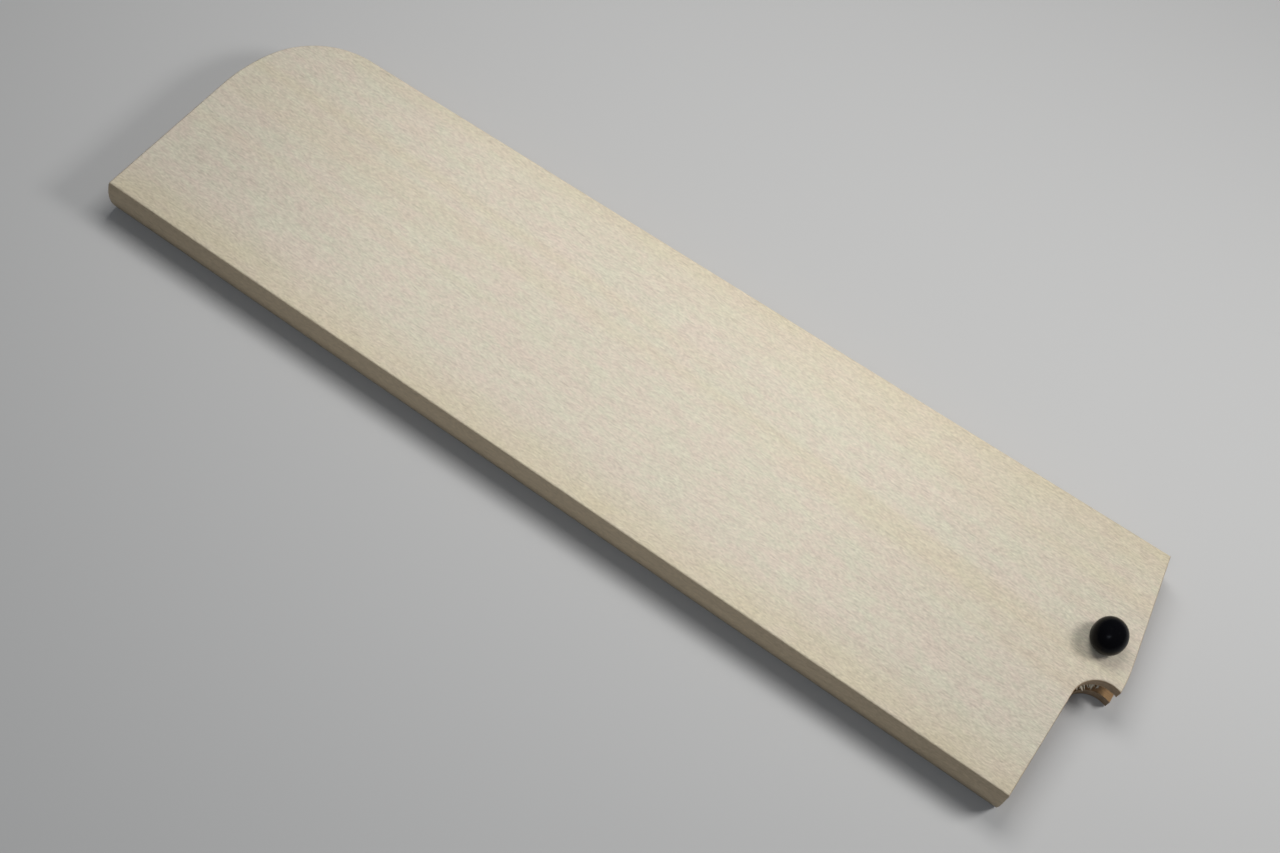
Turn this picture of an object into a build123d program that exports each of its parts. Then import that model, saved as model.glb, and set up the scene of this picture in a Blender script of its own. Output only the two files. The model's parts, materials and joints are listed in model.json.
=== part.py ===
"""Sheath for a rectangular kitchen knife with a rounded spine tip, and its push-in retaining pin.

Lengths are in millimetres and angles in degrees. The sheath lies on its back face: X runs from the
closed tip end to the open heel end, Y from the cutting-edge side to the spine side, and Z up out of
the front face. The origin is under the middle of the sheath's bounding box.
"""
import os
from math import acos, cos, degrees, radians, sin, sqrt, tan

from build123d import *

os.makedirs("parts", exist_ok=True)

# Overall outline of the sheath, seen from the front
edge_length = 232.0  # straight side beside the cutting edge
heel_width = 65.0  # edge side to spine side, in line with the heel end
spine_taper = 1.6  # how far the spine side closes in towards the tip
tip_lean = 6.0  # how far the tip end leans from square
side_bulge = 1.0  # how far the planed long sides belly out at half thickness
face_easing = 0.4  # rounding of the rims of both faces

# Heel end: a square lower part, a round cove, and a lobe that carries the pin
heel_end_length = 26.5
cove_radius = 6.2
lobe_reach = 8.4  # furthest point of the lobe beyond the square part
lobe_lean = 11.0
nose_radius = 36.0  # soft turn from the lobe's straight end down to the cove

# Rounded corner between tip end and spine side: a gentle arc that runs into a tighter one
corner_gentle_radius = 38.0
corner_gentle_turn = 19.0
corner_tight_radius = 22.0

# Layers, from the face that the sheath lies on
back_thickness = 3.4
slot_height = 4.4  # takes a blade of up to 4 mm at the spine
front_thickness = 3.4

# Walls round the blade's pocket
edge_wall = 7.0
spine_wall = 7.5
tip_wall = 8.0
pocket_corner_radius = 18.0  # follows the blade's own rounded tip
cut_margin = 5.0  # how far a cut runs past what it cuts

# Retaining pin: a tapered shank through both panels under a domed head
pin_from_edge = 40.3
shank_tip_radius = 2.2
shank_face_radius = 2.6
shank_clearance = 0.06  # all round the shank
shank_end_inset = 0.3  # keeps the pin's end off the table
shank_end_chamfer = 0.4
neck_height = 0.5
head_radius = 4.25
underside_height = 2.6
dome_height = 4.0

# Places that follow from the sizes above
thickness = back_thickness + slot_height + front_thickness
slot_roof = back_thickness + slot_height
bulge_overrun = side_bulge * tan(radians(tip_lean))  # the bulge carries the leaning tip end this far out
overall_length = bulge_overrun + edge_length + lobe_reach
tip_x = bulge_overrun - overall_length / 2
heel_x = tip_x + edge_length
cusp_x = heel_x + lobe_reach
cove_x = heel_x + cove_radius
tip_angle = 90 - tip_lean
lobe_angle = 90 + lobe_lean


def heading(angle):
    """Unit step along an angle."""
    return Vector(cos(radians(angle)), sin(radians(angle)))


def meet(p, p_angle, q, q_angle):
    """Point where a line through p and a line through q cross."""
    a, b = heading(p_angle), heading(q_angle)
    gap = q - p
    return p + a * ((gap.X * b.Y - gap.Y * b.X) / (a.X * b.Y - a.Y * b.X))


def arc_chord(start_angle, radius, turn):
    """Step from the start to the end of an arc that turns clockwise."""
    start, end = heading(start_angle), heading(start_angle - turn)
    return Vector(start.Y - end.Y, end.X - start.X) * radius


# Corners that the lobe and the spine side share, first measured from the edge side
cusp_rise = sqrt(cove_radius**2 - (cusp_x - cove_x) ** 2)
cusp_angle = degrees(acos((cusp_x - cove_x) / cove_radius))
cusp = Vector(cusp_x, heel_end_length + cusp_rise)
lobe_foot = cusp - arc_chord(lobe_angle - 180, nose_radius, lobe_lean)
spine_heel = Vector(heel_x, heel_width)
spine_reach = meet(spine_heel + heading(spine_taper + 90) * side_bulge, spine_taper, lobe_foot, lobe_angle)
edge_y = (side_bulge - spine_reach.Y) / 2
rise = Vector(0, edge_y)


def outline(out):
    """Face of the sheath's outline with both long sides moved outward by out."""
    tip_corner = Vector(tip_x - out * tan(radians(tip_lean)), edge_y - out)
    spine = spine_heel + rise + heading(spine_taper + 90) * out
    spine_end = meet(spine, spine_taper, lobe_foot + rise, lobe_angle)
    tight_turn = tip_angle - spine_taper - corner_gentle_turn
    chord = arc_chord(tip_angle, corner_gentle_radius, corner_gentle_turn)
    chord += arc_chord(tip_angle - corner_gentle_turn, corner_tight_radius, tight_turn)
    corner_start = meet(tip_corner, tip_angle, spine - chord, spine_taper)
    with BuildSketch() as plan:
        with BuildLine():
            tip = Line(tip_corner, corner_start)
            gentle = JernArc(tip @ 1, tip % 1, corner_gentle_radius, -corner_gentle_turn)
            tight = JernArc(gentle @ 1, gentle % 1, corner_tight_radius, -tight_turn)
            Line(tight @ 1, spine_end)
            lobe = Line(spine_end, lobe_foot + rise)
            nose = JernArc(lobe @ 1, lobe % 1, nose_radius, -lobe_lean)
            cove_centre = (cove_x, edge_y + heel_end_length)
            cove = CenterArc(cove_centre, cove_radius, cusp_angle, 180 - cusp_angle)
            heel = Line(cove @ 1, (heel_x, edge_y - out))
            Line(heel @ 1, tip_corner)
        make_face()
    return plan.sketch


# Solid blank of the closed sheath: the long sides belly out between its two flat faces
with BuildPart() as blank:
    for height, out in ((0, 0), (thickness / 2, side_bulge), (thickness, 0)):
        with BuildSketch(Plane.XY.offset(height)):
            add(outline(out))
    loft()
    fillet(blank.faces().filter_by(Axis.Z).edges(), face_easing)

# Round hole that the pin's taper fills, through both panels
pin_place = Pos(heel_x, edge_y + pin_from_edge)
taper = (shank_face_radius - shank_tip_radius) / (thickness - shank_end_inset)
bore_low_radius = shank_tip_radius + shank_clearance - taper * (shank_end_inset + cut_margin)
bore_high_radius = shank_face_radius + shank_clearance + taper * cut_margin
bore = pin_place * Pos(0, 0, thickness / 2) * Cone(bore_low_radius, bore_high_radius, thickness + 2 * cut_margin)

# Front panel
with BuildPart() as front_panel:
    add(blank.part)
    split(bisect_by=Plane.XY.offset(slot_roof), keep=Keep.TOP)
    add(bore, mode=Mode.SUBTRACT)

# Back panel
with BuildPart() as back_panel:
    add(blank.part)
    split(bisect_by=Plane.XY.offset(back_thickness), keep=Keep.BOTTOM)
    add(bore, mode=Mode.SUBTRACT)

# Pocket for the blade, open past the whole heel end
pocket_low = edge_y + edge_wall
tip_inner = Vector(tip_x + tip_wall / cos(radians(tip_lean)), edge_y)
spine_inner = spine_heel + rise - heading(spine_taper + 90) * spine_wall
mouth = Vector(cusp_x + cut_margin, pocket_low)
pocket_tip = meet(tip_inner, tip_angle, mouth, 0)
pocket_corner = meet(tip_inner, tip_angle, spine_inner, spine_taper)
pocket_mouth = meet(spine_inner, spine_taper, mouth, 90)
with BuildPart() as core:
    add(blank.part)
    split(bisect_by=Plane.XY.offset(slot_roof), keep=Keep.BOTTOM)
    split(bisect_by=Plane.XY.offset(back_thickness), keep=Keep.TOP)
    with BuildSketch(Plane.XY.offset(back_thickness)) as pocket:
        with BuildLine():
            Polyline(mouth, pocket_tip, pocket_corner, pocket_mouth, close=True)
        make_face()
        fillet(pocket.vertices().sort_by_distance(pocket_corner)[0], pocket_corner_radius)
    extrude(amount=slot_height, mode=Mode.SUBTRACT)

# Strips that close the sheath between the two panels: the edge strip runs the full length, and the tip
# block ends where the rounded corner does
edge_joint = Plane.XZ.offset(-pocket_low)
spine_joint = Plane.YZ.offset(pocket_corner.X + pocket_corner_radius)

with BuildPart() as edge_strip:
    add(core.part)
    split(bisect_by=edge_joint, keep=Keep.TOP)

with BuildPart() as tip_block:
    add(core.part)
    split(bisect_by=edge_joint, keep=Keep.BOTTOM)
    split(bisect_by=spine_joint, keep=Keep.BOTTOM)

with BuildPart() as spine_strip:
    add(core.part)
    split(bisect_by=edge_joint, keep=Keep.BOTTOM)
    split(bisect_by=spine_joint, keep=Keep.TOP)

# Retaining pin, turned about its own axis
pin_section = Plane(pin_place.position, x_dir=(1, 0, 0), z_dir=(0, -1, 0))
shank_end = shank_end_inset
neck_z = thickness + neck_height
widest_z = neck_z + underside_height
with BuildPart() as retaining_pin:
    with BuildSketch(pin_section):
        with BuildLine():
            Polyline(
                (0, shank_end),
                (shank_tip_radius - shank_end_chamfer, shank_end),
                (shank_tip_radius, shank_end + shank_end_chamfer),
                (shank_face_radius, thickness),
                (shank_face_radius, neck_z),
            )
            TangentArc((head_radius, widest_z), (shank_face_radius, neck_z), tangent=(0, -1))
            dome = Spline((head_radius, widest_z), (0, widest_z + dome_height), tangents=((0, 1), (-1, 0)))
            Line(dome @ 1, (0, shank_end))
        make_face()
    revolve(axis=Axis(pin_place.position, (0, 0, 1)))

pieces = {
    "front_panel": front_panel,
    "back_panel": back_panel,
    "edge_strip": edge_strip,
    "spine_strip": spine_strip,
    "tip_block": tip_block,
    "retaining_pin": retaining_pin,
}
for name, piece in pieces.items():
    piece.part.label = name
    export_step(piece.part, f"parts/{name}.step")
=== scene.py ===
import json
from math import radians

import bpy
import numpy as np
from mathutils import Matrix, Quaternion, Vector

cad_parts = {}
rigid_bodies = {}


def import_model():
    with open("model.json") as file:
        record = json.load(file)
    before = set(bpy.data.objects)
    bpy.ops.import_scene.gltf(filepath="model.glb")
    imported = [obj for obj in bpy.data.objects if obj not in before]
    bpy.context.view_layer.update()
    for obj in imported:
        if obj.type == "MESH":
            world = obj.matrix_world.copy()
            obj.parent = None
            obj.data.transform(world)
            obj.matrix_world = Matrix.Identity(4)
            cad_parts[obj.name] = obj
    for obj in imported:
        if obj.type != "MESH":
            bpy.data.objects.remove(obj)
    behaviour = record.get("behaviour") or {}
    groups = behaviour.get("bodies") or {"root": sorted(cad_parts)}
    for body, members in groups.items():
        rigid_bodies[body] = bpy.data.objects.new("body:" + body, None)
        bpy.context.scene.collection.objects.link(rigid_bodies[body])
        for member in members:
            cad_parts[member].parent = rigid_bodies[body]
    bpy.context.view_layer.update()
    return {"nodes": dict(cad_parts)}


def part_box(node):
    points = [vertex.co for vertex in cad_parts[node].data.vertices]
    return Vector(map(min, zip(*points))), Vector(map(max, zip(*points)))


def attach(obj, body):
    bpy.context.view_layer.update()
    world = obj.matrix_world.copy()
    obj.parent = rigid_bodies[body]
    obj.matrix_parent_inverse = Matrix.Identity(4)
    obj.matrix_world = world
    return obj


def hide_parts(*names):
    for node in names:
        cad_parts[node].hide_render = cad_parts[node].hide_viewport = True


for leftover in list(bpy.data.objects):
    bpy.data.objects.remove(leftover)
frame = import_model()


# Back board. A thin board of pale, close-grained hardwood, sawn with its grain along the sheath,
# planed and left bare. It carries the whole sheath, and the strips are glued round its edges.
def step(tree, kind, sockets, **settings):
    """A shader node with its settings made and its sockets filled, by a value or by another node's output."""
    made = tree.nodes.new(kind)
    for name, value in settings.items():
        setattr(made, name, value)
    for socket, value in sockets.items():
        if isinstance(value, bpy.types.NodeSocket):
            tree.links.new(value, made.inputs[socket])
        else:
            made.inputs[socket].default_value = value
    return made


def work(tree, operation, *values):
    """One sum on numbers, such as ADD or MULTIPLY."""
    return step(tree, "ShaderNodeMath", dict(enumerate(values)), operation=operation).outputs[0]


def fibres(tree, coords, along, across, detail):
    """Noise drawn out along the grain, averaging a half. Its spots are about along by across, in metres."""
    scale = (1 / along, 1 / across, 1 / across)
    drawn_out = step(tree, "ShaderNodeMapping", {"Vector": coords, "Scale": scale})
    sockets = {"Vector": drawn_out.outputs[0], "Scale": 1.0, "Detail": detail, "Roughness": 0.6}
    return step(tree, "ShaderNodeTexNoise", sockets).outputs[0]


def swing(tree, noise, reach):
    """Noise turned into a share that swings about nought."""
    return work(tree, "MULTIPLY_ADD", noise, reach, -reach / 2)


def rise(tree, value, start, end):
    """Nought at start, one at end, and smooth between. start may lie above end."""
    sockets = {"Value": value, "From Min": start, "From Max": end}
    return step(tree, "ShaderNodeMapRange", sockets, interpolation_type="SMOOTHSTEP").outputs[0]


def stain(tree, colour, other, amount):
    """A colour carried towards another by a share."""
    return step(tree, "ShaderNodeMix", {0: amount, 6: colour, 7: other}, data_type="RGBA").outputs[2]


pink_wood = (0.708, 0.606, 0.500, 1.0)
olive_wood = (0.660, 0.622, 0.488, 1.0)
yellow_wood = (0.660, 0.570, 0.400, 1.0)
side_wood = (0.610, 0.490, 0.330, 1.0)
end_wood = (0.470, 0.350, 0.230, 1.0)
cove_wood = (0.430, 0.300, 0.180, 1.0)
# Painted shade for the faces inside the pocket.
pocket_shade_colour = (0.420, 0.260, 0.130, 1.0)
pin_low, pin_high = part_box("retaining_pin")
pin_x, pin_y = (pin_low.x + pin_high.x) / 2, (pin_low.y + pin_high.y) / 2
front_low, front_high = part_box("front_panel")
cove_radius = 0.0062
cove_to_pin = 0.0138    # along Y, from the cove's centre to the pin's
cove_place = (pin_x + cove_radius, pin_y - cove_to_pin)
cut_margin = 0.0004


def bare_wood(name, board, worked=1.0):
    """Planed wood with its grain along X. board shifts the pattern, so that no two boards share their grain.

    Browner on the long sides and on end grain, brown in the round cut beside the pin, and yellower along the
    edges where it is held. Painted shade: red-brown inside the pocket, darker low on the sides towards the
    floor, and darker towards both ends for the light falling off there. Fresh wood that no tool has touched
    has a worked share of nought, and so neither the browner sides and end grain, the brown cove nor the
    pocket's painted shade.
    """
    material = bpy.data.materials.new(name)
    material.use_nodes = True
    tree = material.node_tree
    tree.nodes.clear()
    place = step(tree, "ShaderNodeTexCoord", {}).outputs
    coords = step(tree, "ShaderNodeMapping", {"Vector": place["Object"], "Location": board}).outputs[0]
    spot = step(tree, "ShaderNodeSeparateXYZ", {0: place["Object"]}).outputs
    facing = step(tree, "ShaderNodeSeparateXYZ", {0: place["Normal"]}).outputs
    endwise, sideways, level = (work(tree, "ABSOLUTE", facing[axis]) for axis in "XYZ")

    flecks = fibres(tree, coords, 0.0009, 0.00024, 1.5)
    threads = fibres(tree, coords, 0.0036, 0.00024, 1.0)
    streaks = fibres(tree, coords, 0.0450, 0.0014, 3.0)
    clouds = fibres(tree, coords, 0.0026, 0.0013, 2.0)
    drifts = fibres(tree, coords, 0.0130, 0.0060, 2.0)
    bands = fibres(tree, coords, 0.3000, 0.0120, 2.0)

    tint = work(tree, "ADD", swing(tree, clouds, 1.0), swing(tree, drifts, 1.0))
    colour = stain(tree, pink_wood, olive_wood, rise(tree, tint, -0.36, 0.36))
    colour = stain(tree, colour, yellow_wood, work(tree, "MULTIPLY", rise(tree, bands, 0.5, 0.8), 0.6))
    held = rise(tree, work(tree, "ABSOLUTE", spot["Y"]), 0.020, front_high.y)
    colour = stain(tree, colour, yellow_wood, work(tree, "MULTIPLY", held, work(tree, "ADD", drifts, 0.15)))
    on_side = rise(tree, sideways, 0.5, 0.95)
    colour = stain(tree, colour, side_wood, work(tree, "MULTIPLY", on_side, worked))
    colour = stain(tree, colour, end_wood, work(tree, "MULTIPLY", rise(tree, endwise, 0.35, 0.95), worked))
    # Painted shade: the faces inside the pocket that face up or down are darkened to red-brown.
    pocket_shade_mask = work(tree, "MULTIPLY", rise(tree, level, 0.6, 0.9), work(
        tree, "MULTIPLY", rise(tree, spot["Z"], 0.0015, 0.0030), rise(tree, spot["Z"], 0.0100, 0.0085)))
    colour = stain(tree, colour, pocket_shade_colour, work(tree, "MULTIPLY", pocket_shade_mask, worked))
    flat = step(tree, "ShaderNodeVectorMath", {0: place["Object"], 1: (1, 1, 0)}, operation="MULTIPLY")
    to_cove = step(tree, "ShaderNodeVectorMath",
                   {0: flat.outputs[0], 1: (*cove_place, 0)}, operation="DISTANCE")
    near_cove = rise(tree, to_cove.outputs["Value"], cove_radius + 2 * cut_margin, cove_radius + cut_margin)
    in_cove = work(tree, "MULTIPLY", near_cove, rise(tree, level, 0.8, 0.4))
    colour = stain(tree, colour, cove_wood, work(tree, "MULTIPLY", in_cove, worked))

    dark_threads = work(tree, "MULTIPLY", rise(tree, threads, 0.58, 0.74), -0.11)
    # Painted shade: darker towards the tip and towards the heel, for the light falling off at both ends.
    tip_painted_shade = work(tree, "MULTIPLY", rise(tree, spot["X"], -0.050, front_low.x), -0.13)
    heel_painted_shade = work(tree, "MULTIPLY", rise(tree, spot["X"], 0.030, front_high.x), -0.17)
    # Painted shade: the long sides darken towards the floor.
    low_side_painted_shade = work(tree, "MULTIPLY", rise(tree, spot["Z"], 0.0075, 0.0), on_side)
    low_side_painted_shade = work(tree, "MULTIPLY", low_side_painted_shade, -0.30)
    shade = 1.0
    for share in (swing(tree, flecks, 0.60), dark_threads, swing(tree, streaks, 0.08),
                  swing(tree, clouds, 0.12), swing(tree, drifts, 0.04), swing(tree, bands, 0.05),
                  tip_painted_shade, heel_painted_shade, low_side_painted_shade):
        shade = work(tree, "ADD", share, shade)
    coloured = step(tree, "ShaderNodeVectorMath", {0: colour, "Scale": shade}, operation="SCALE").outputs[0]

    height = work(tree, "ADD", flecks, swing(tree, threads, -0.8))
    relief = step(tree, "ShaderNodeBump", {"Height": height, "Strength": 0.3, "Distance": 0.00005}).outputs[0]
    surface = step(tree, "ShaderNodeBsdfPrincipled", {
        "Base Color": coloured, "Roughness": work(tree, "ADD", swing(tree, threads, 0.2), 0.62),
        "Normal": relief, "Specular IOR Level": 0.35,
    })
    step(tree, "ShaderNodeOutputMaterial", {"Surface": surface.outputs[0]})
    return material


def finish_with(node, material):
    """Gives a board its finish in all its material slots."""
    for place in frame["nodes"][node].material_slots:
        place.material = material


finish_with("back_panel", bare_wood("back_board_wood", (0.31, 0.17, 0.05)))

# Tip block. The curved piece of the same wood that closes the sheath round the blade's tip, glued on
# the back board and rounded together with it.
finish_with("tip_block", bare_wood("tip_block_wood", (0.57, 0.02, 0.09)))

# Edge strip. A straight lath of the same wood, glued on beside the cutting edge.
finish_with("edge_strip", bare_wood("edge_strip_wood", (0.11, 0.43, 0.21)))

# Spine strip. The same lath on the other side, which runs out to the end of the lobe.
finish_with("spine_strip", bare_wood("spine_strip_wood", (0.83, 0.29, 0.13)))

# Front board. The board that shows most: evenly pale, with short fine fibres and soft clouds in the
# grain, glued on last, after which the long sides are planed round with all the layers together.
finish_with("front_panel", bare_wood("front_board_wood", (0.04, 0.08, 0.33)))

# Torn fibres. Where the round cut beside the pin breaks out of the front board into the pocket, it
# leaves a few bright splinters of that board, which hang down into the gap.
splinter_count = 12
splinter_angles = (108, 155)    # round the cove, in degrees
splinter_lengths = (0.0009, 0.0017)
splinter_widths = (0.00014, 0.00034)
splinter_flat_share = 0.4
splinter_root = 0.0002    # how deep it sits in the board
splinter_steps, splinter_sides = 10, 8


def closed_tubes(name, rings, ends):
    """Mesh of closed tubes: rings holds each tube's points, ring by ring, and ends its first and last point.

    rings has the shape (tubes, steps, sides, 3) and ends (tubes, 2, 3). A ring turns to the left about its
    tube's way forward, so that the faces point outwards.
    """
    tubes, steps, sides = rings.shape[:3]
    size = steps * sides + 2
    corners = np.concatenate([rings.reshape(tubes, -1, 3), ends], axis=1).reshape(-1, 3)
    ring, side = np.meshgrid(np.arange(steps - 1), np.arange(sides), indexing="ij")
    beside = (side + 1) % sides
    quads = np.stack([ring * sides + side, ring * sides + beside,
                      (ring + 1) * sides + beside, (ring + 1) * sides + side], axis=-1).reshape(-1, 4)
    turn = np.arange(sides)
    last = (steps - 1) * sides
    first_cap = np.stack([np.full(sides, size - 2), (turn + 1) % sides, turn], axis=-1)
    last_cap = np.stack([last + turn, last + (turn + 1) % sides, np.full(sides, size - 1)], axis=-1)
    starts = np.arange(tubes)[:, None, None] * size
    faces = [(starts + part).reshape(-1, part.shape[1]).tolist() for part in (quads, first_cap, last_cap)]
    mesh = bpy.data.meshes.new(name)
    mesh.from_pydata(corners.tolist(), [], sum(faces, []))
    mesh.shade_smooth()
    piece = bpy.data.objects.new(name, mesh)
    bpy.context.scene.collection.objects.link(piece)
    return piece


def splinters(seed):
    """Splinters round the cove. Each runs inwards and down from its root, curls aside with the square of the
    way along it, and narrows to a point. Its section is a flat oval."""
    draw = np.random.default_rng(seed)
    angle = np.radians(draw.uniform(*splinter_angles, splinter_count))
    length = draw.uniform(*splinter_lengths, splinter_count)
    width = draw.uniform(*splinter_widths, splinter_count)
    curl = draw.uniform(-0.5, 0.5, splinter_count)
    lean = draw.uniform(0.5, 1.1, splinter_count)
    nothing = np.zeros(splinter_count)
    outward = np.stack([np.cos(angle), np.sin(angle), nothing], axis=-1)
    aside = np.stack([-np.sin(angle), np.cos(angle), nothing], axis=-1)
    down = np.array([0.0, 0.0, -1.0])
    ahead = down - outward * lean[:, None]
    ahead /= np.linalg.norm(ahead, axis=1, keepdims=True)
    over = np.cross(ahead, aside)
    cove_top = np.array([*cove_place, front_low.z])
    root = cove_top + outward * (cove_radius + splinter_root) - down * splinter_root

    way = np.linspace(0, 1, splinter_steps + 2)
    reach = length[:, None] * way
    line = (root[:, None] + ahead[:, None] * reach[..., None]
            + aside[:, None] * (curl[:, None] * length[:, None] * way**2)[..., None])
    half = width[:, None] * (1 - way**1.5)
    turn = np.linspace(0, 2 * np.pi, splinter_sides, endpoint=False)
    section = (aside[:, None, None] * np.cos(turn)[None, None, :, None]
               + over[:, None, None] * (splinter_flat_share * np.sin(turn))[None, None, :, None])
    rings = line[:, 1:-1, None] + section * half[:, 1:-1, None, None]
    return rings, line[:, [0, -1]]


torn_fibres = closed_tubes("torn_fibres", *splinters(seed=5))
torn_fibres.data.materials.append(bare_wood("torn_wood", (0.21, 0.37, 0.15), worked=0.0))
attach(torn_fibres, "sheath")

# Retaining pin. Turned from hard wood, stained black all through and polished, and pushed by hand
# through both boards, across the blade's heel. Its head is a little oval, as hand work leaves it.
pin_black = (0.0022, 0.0022, 0.0030, 1.0)
shank_tip_radius, shank_face_radius = 0.0022, 0.0026
shank_end_chamfer = 0.0004
neck_height, underside_height = 0.0005, 0.0026
head_squeeze_share = 0.065    # narrower along the sheath
head_wave_share = 0.006
pin_sides = 96


def pin_outline():
    """Radius and height up the pin: a taper with a chamfered end, a short neck, a rounded underside that is a
    quarter ellipse, and a dome that is another."""
    face = front_high.z
    neck, widest = face + neck_height, face + neck_height + underside_height
    head = (pin_high.x - pin_low.x) / 2
    corners = np.array([
        (shank_tip_radius - shank_end_chamfer, pin_low.z), (shank_tip_radius, pin_low.z + shank_end_chamfer),
        (shank_face_radius, face), (shank_face_radius, neck),
    ])
    share = np.array([0.0, 0.04, 0.5, 0.96])[:, None]
    spans = [low + (high - low) * share for low, high in zip(corners, corners[1:])]
    under = np.linspace(0, np.pi / 2, 18, endpoint=False)
    dome = np.linspace(0, np.pi / 2, 26, endpoint=False)
    spans.append(np.stack([shank_face_radius + (head - shank_face_radius) * np.sin(under),
                           widest - underside_height * np.cos(under)], axis=-1))
    spans.append(np.stack([head * np.cos(dome), widest + (pin_high.z - widest) * np.sin(dome)], axis=-1))
    return np.concatenate(spans), (neck, widest)


def turned_pin():
    """The outline carried round the pin's axis. The head is squeezed along X and waves a little round its
    edge, by shares that grow from nought at the neck to their whole at the widest place."""
    outline, (neck, widest) = pin_outline()
    radius, height = outline.T
    turn = np.linspace(0, 2 * np.pi, pin_sides, endpoint=False)
    grown = np.clip((height - neck) / (widest - neck), 0, 1)[:, None]
    wavy = radius[:, None] * (1 + grown * head_wave_share * np.sin(3 * turn + 0.7))
    rings = np.stack([
        pin_x + wavy * np.cos(turn) * (1 - grown * head_squeeze_share),
        pin_y + wavy * np.sin(turn),
        np.broadcast_to(height[:, None], wavy.shape),
    ], axis=-1)
    ends = np.array([(pin_x, pin_y, pin_low.z), (pin_x, pin_y, pin_high.z)])
    return rings[None], ends[None]


def polished_black(name):
    """Black stained wood with faint pores under its polish."""
    material = bpy.data.materials.new(name)
    material.use_nodes = True
    tree = material.node_tree
    tree.nodes.clear()
    place = step(tree, "ShaderNodeTexCoord", {})
    pores = fibres(tree, place.outputs["Object"], 0.0004, 0.0004, 3.0)
    relief = step(tree, "ShaderNodeBump", {"Height": pores, "Strength": 0.2, "Distance": 0.00003}).outputs[0]
    surface = step(tree, "ShaderNodeBsdfPrincipled", {
        "Base Color": pin_black, "Roughness": work(tree, "ADD", swing(tree, pores, 0.12), 0.25),
        "Normal": relief, "Specular IOR Level": 0.07,
    })
    step(tree, "ShaderNodeOutputMaterial", {"Surface": surface.outputs[0]})
    return material


pin = closed_tubes("pin", *turned_pin())
pin.data.materials.append(polished_black("pin_polish"))
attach(pin, "pin")
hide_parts("retaining_pin")

# Floor. A plain pale matt ground, larger than any view of the sheath.
floor_reach = 2.5
floor_drop = 0.0001
floor_pale = (0.520, 0.515, 0.505, 1.0)


def ground(reach, height):
    """Flat surface: x and y run from -reach to reach, and z is the height."""
    x, y = np.meshgrid([-reach, reach], [-reach, reach])
    corners = np.column_stack([x.ravel(), y.ravel(), np.full(x.size, height)])
    mesh = bpy.data.meshes.new("floor")
    mesh.from_pydata(corners.tolist(), [], [(0, 1, 3, 2)])
    return mesh


floor = bpy.data.objects.new("floor", ground(floor_reach, -floor_drop))
bpy.context.scene.collection.objects.link(floor)
floor_matt = bpy.data.materials.new("floor_matt")
floor_matt.use_nodes = True
floor_surface = floor_matt.node_tree.nodes["Principled BSDF"]
floor_surface.inputs["Base Color"].default_value = floor_pale
floor_surface.inputs["Roughness"].default_value = 0.9
floor.data.materials.append(floor_matt)

# Light. A soft lamp over the middle and a weaker one beyond the heel end, both from the spine side, so
# that the edge side lies in its own shade, a small cool window behind the camera that the pin's head
# mirrors, and a dim room all round.
lamp_place = (-0.05, 0.10, 0.30)
lamp_aim = (-0.03, -0.10, 0.0)
lamp_size = (0.20, 0.12)
lamp_watts = 0.60
side_lamp_place = (0.26, 0.13, 0.28)
side_lamp_size = (0.10, 0.10)
side_lamp_watts = 0.69
window_place = (0.048, -0.236, 0.56)
window_size = (0.20, 0.035)
window_watts = 0.35
window_turn = 49
window_colour = (0.80, 0.88, 1.0)
room_colour = (0.92, 0.96, 1.0, 1.0)
room_strength = 0.12


def soft_lamp(name, place, target, size, watts, turn=0):
    """Oblong lamp at a place, aimed at a target and turned about its own beam by so many degrees."""
    light = bpy.data.lights.new(name, "AREA")
    light.shape = "RECTANGLE"
    light.size, light.size_y = size
    light.energy = watts
    lamp = bpy.data.objects.new(name, light)
    bpy.context.scene.collection.objects.link(lamp)
    lamp.location = place
    aim = (Vector(target) - Vector(place)).to_track_quat("-Z", "Y")
    lamp.rotation_euler = (aim @ Quaternion((0, 0, 1), radians(turn))).to_euler()
    lamp.visible_camera = False
    return lamp


main_lamp = soft_lamp("main_lamp", lamp_place, lamp_aim, lamp_size, lamp_watts)
side_lamp = soft_lamp("side_lamp", side_lamp_place, (0, 0, 0), side_lamp_size, side_lamp_watts)
main_lamp.visible_glossy = side_lamp.visible_glossy = False
window = soft_lamp("window", window_place, (pin_x, pin_y, pin_high.z), window_size, window_watts, window_turn)
window.data.color = window_colour
room = bpy.data.worlds.new("room")
room.use_nodes = True
room.node_tree.nodes["Background"].inputs["Color"].default_value = room_colour
room.node_tree.nodes["Background"].inputs["Strength"].default_value = room_strength
bpy.context.scene.world = room
bpy.context.scene.view_settings.view_transform = "Standard"

# Camera. It stands over the edge side, turned so that the sheath lies across the frame.
camera_place = (0.0664, -0.1682, 0.41002)
camera_turn = (22.28, -5.564, 34.315)
focal_length, sensor_width = 57.05, 36.0    # in millimetres
nearest_seen = 0.01
lens = bpy.data.cameras.new("camera")
lens.lens = focal_length
lens.sensor_width = sensor_width
lens.clip_start = nearest_seen
camera = bpy.data.objects.new("camera", lens)
camera.location = camera_place
camera.rotation_euler = [radians(turn) for turn in camera_turn]
bpy.context.scene.collection.objects.link(camera)
bpy.context.scene.camera = camera
